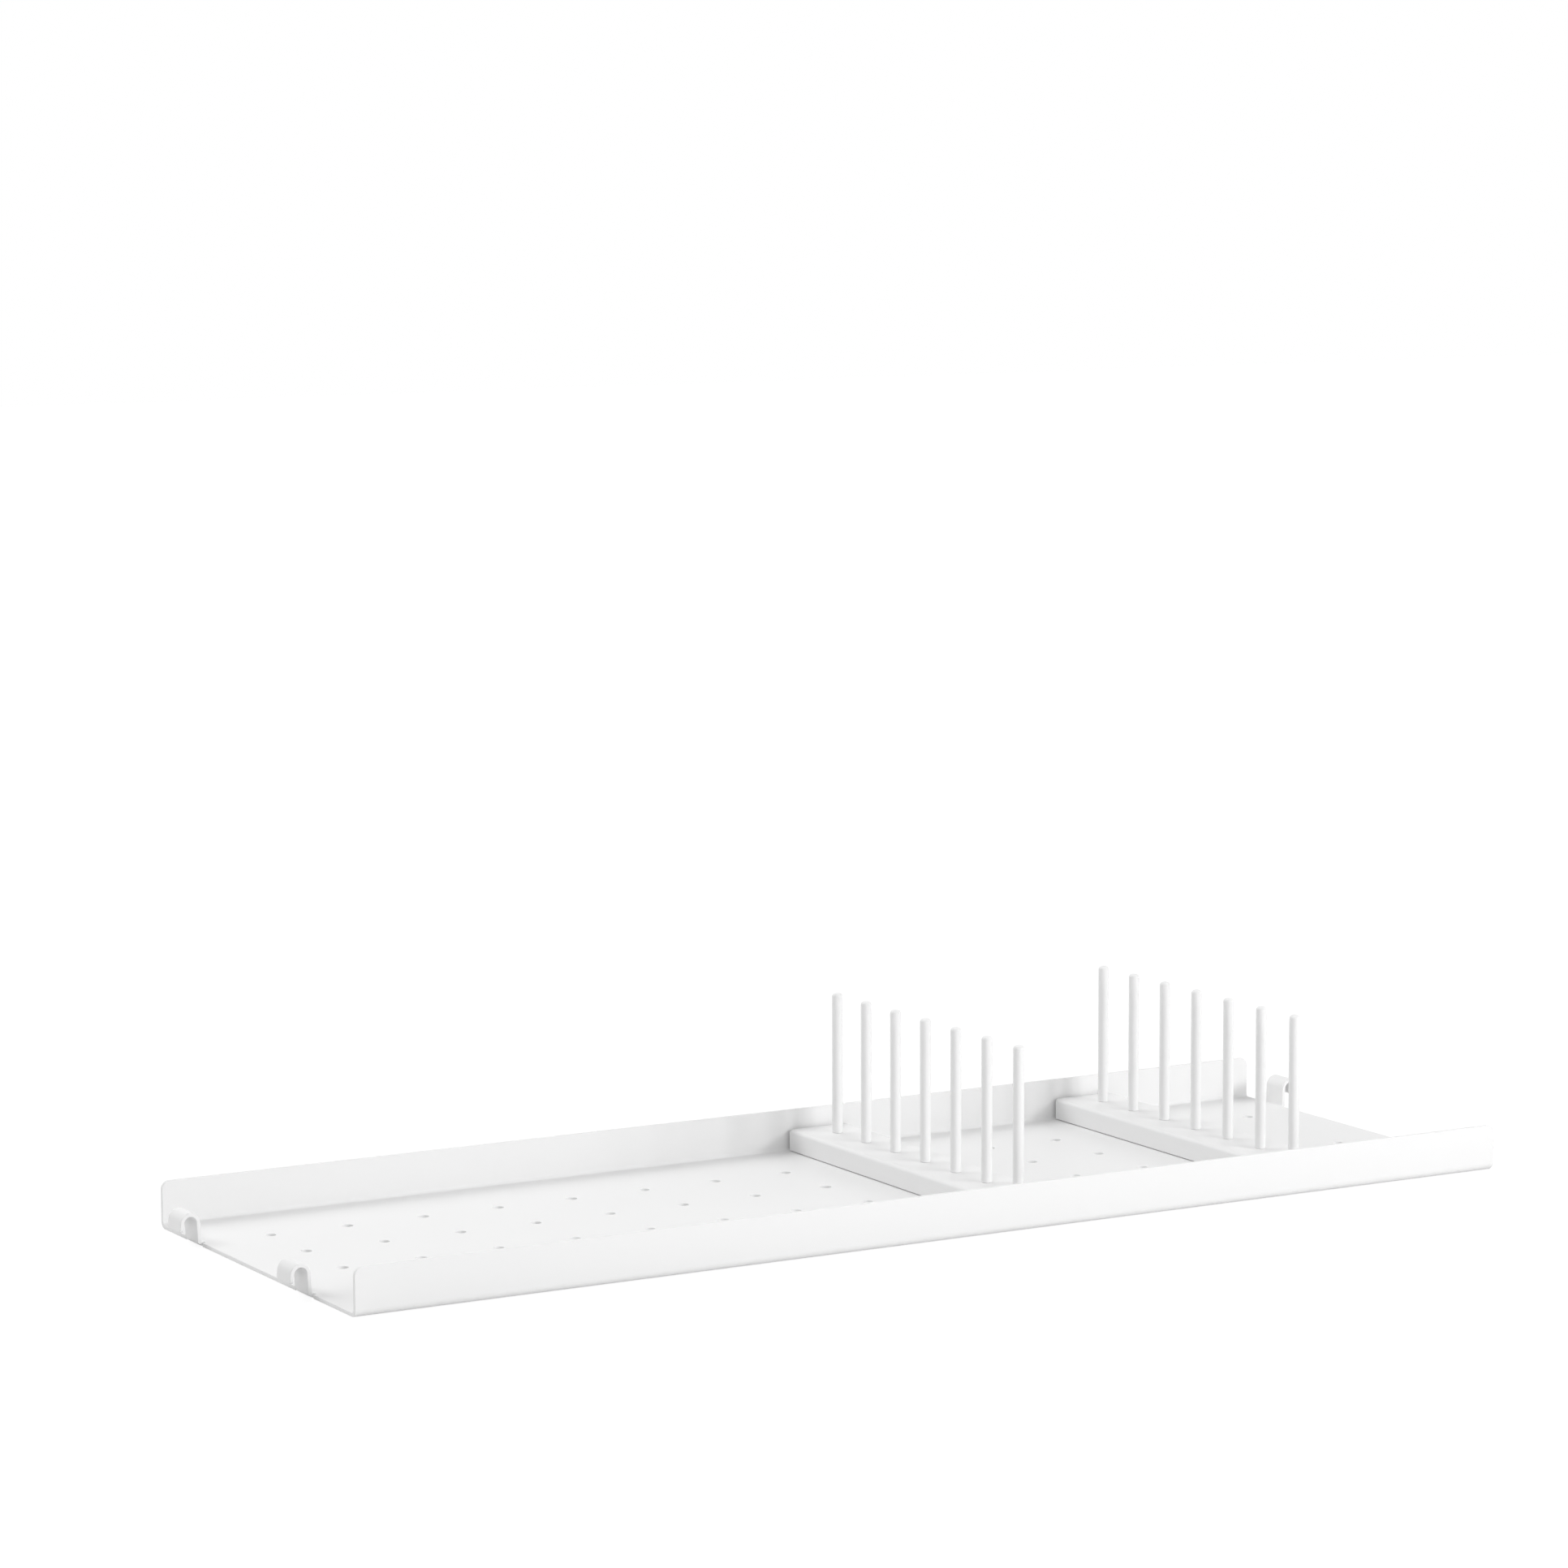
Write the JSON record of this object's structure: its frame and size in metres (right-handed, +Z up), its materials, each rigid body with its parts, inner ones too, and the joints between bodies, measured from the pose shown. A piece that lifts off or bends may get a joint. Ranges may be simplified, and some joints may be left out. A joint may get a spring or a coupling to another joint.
{
  "type": "plate rack tray",
  "caption": "White powder-coated perforated sheet-steel shelf tray with end hooks for a ladder frame, and loose plate racks of round pegs on channel bars that slide along it",
  "frame": {"origin": "Middle of the tray's underside, on the plane that the tray's floor would stand on.", "axes": "X runs along the tray from left to right as seen from the front, Y from the front flange to the back flange, and Z up through the pegs."},
  "size_m": [0.599, 0.2, 0.0783],
  "materials": {
    "tray_coat": "white fine-textured matt powder coat",
    "bar_coat": "white fine-textured matt powder coat",
    "peg_coat": "white satin powder coat",
    "screw_steel": "bare turned steel"
  },
  "bodies": {
    "tray": {"shelf_tray": "tray_coat"},
    "left_rack": {"left_rack_bar": "bar_coat", "left_rack_peg_1": "peg_coat", "left_rack_peg_2": "peg_coat", "left_rack_peg_3": "peg_coat", "left_rack_peg_4": "peg_coat", "left_rack_peg_5": "peg_coat", "left_rack_peg_6": "peg_coat", "left_rack_peg_7": "peg_coat", "left_rack_screw_1": "screw_steel", "left_rack_screw_2": "screw_steel", "left_rack_screw_3": "screw_steel", "left_rack_screw_4": "screw_steel", "left_rack_screw_5": "screw_steel", "left_rack_screw_6": "screw_steel", "left_rack_screw_7": "screw_steel"},
    "right_rack": {"right_rack_bar": "bar_coat", "right_rack_peg_1": "peg_coat", "right_rack_peg_2": "peg_coat", "right_rack_peg_3": "peg_coat", "right_rack_peg_4": "peg_coat", "right_rack_peg_5": "peg_coat", "right_rack_peg_6": "peg_coat", "right_rack_peg_7": "peg_coat", "right_rack_screw_1": "screw_steel", "right_rack_screw_2": "screw_steel", "right_rack_screw_3": "screw_steel", "right_rack_screw_4": "screw_steel", "right_rack_screw_5": "screw_steel", "right_rack_screw_6": "screw_steel", "right_rack_screw_7": "screw_steel"}
  },
  "joints": [
    {"name": "left_rack_slide", "type": "slide", "parent": "tray", "child": "left_rack", "axis": [1, 0, 0], "range_m": [-0.316, 0.0583]},
    {"name": "right_rack_slide", "type": "slide", "parent": "tray", "child": "right_rack", "axis": [1, 0, 0], "range_m": [-0.0583, 0.081]}
  ]
}
